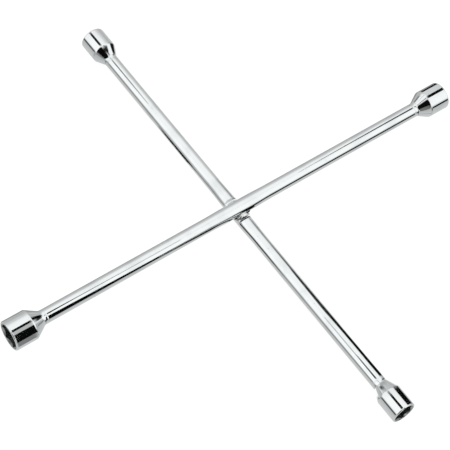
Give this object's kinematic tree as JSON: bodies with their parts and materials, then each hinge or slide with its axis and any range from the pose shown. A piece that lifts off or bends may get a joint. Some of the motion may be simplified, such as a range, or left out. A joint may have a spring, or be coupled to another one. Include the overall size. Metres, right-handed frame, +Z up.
{
  "type": "lug wrench",
  "caption": "Cross-shaped lug wrench: two chromed steel bars crossed and welded at the middle, with a different hexagon wheel-nut socket on each end.",
  "frame": {"origin": "under the crossing of the bars, at the height of the lowest socket's underside", "axes": "+Z up, out of the side that the upper bar is on; the upper bar lies along X with the 13/16 in socket at +X and the 7/8 in socket at -X; the lower bar lies along Y with the 3/4 in socket at +Y and the 11/16 in socket at -Y"},
  "size_m": [0.508, 0.508, 0.0358],
  "materials": {
    "bar_plating": "bright mirror chrome plating over drawn steel bar",
    "socket_plating": "bright mirror chrome plating outside the forged heads, thinner and duller down the hexagons",
    "weld_plating": "bright chrome plating over slightly rippled weld"
  },
  "bodies": {
    "root": {"lower_bar": "bar_plating", "upper_bar": "bar_plating", "socket_7_8in": "socket_plating", "socket_13_16in": "socket_plating", "socket_3_4in": "socket_plating", "socket_11_16in": "socket_plating", "weld_top_front": "weld_plating", "weld_top_back": "weld_plating", "weld_under_left": "weld_plating", "weld_under_right": "weld_plating"}
  },
  "joints": []
}
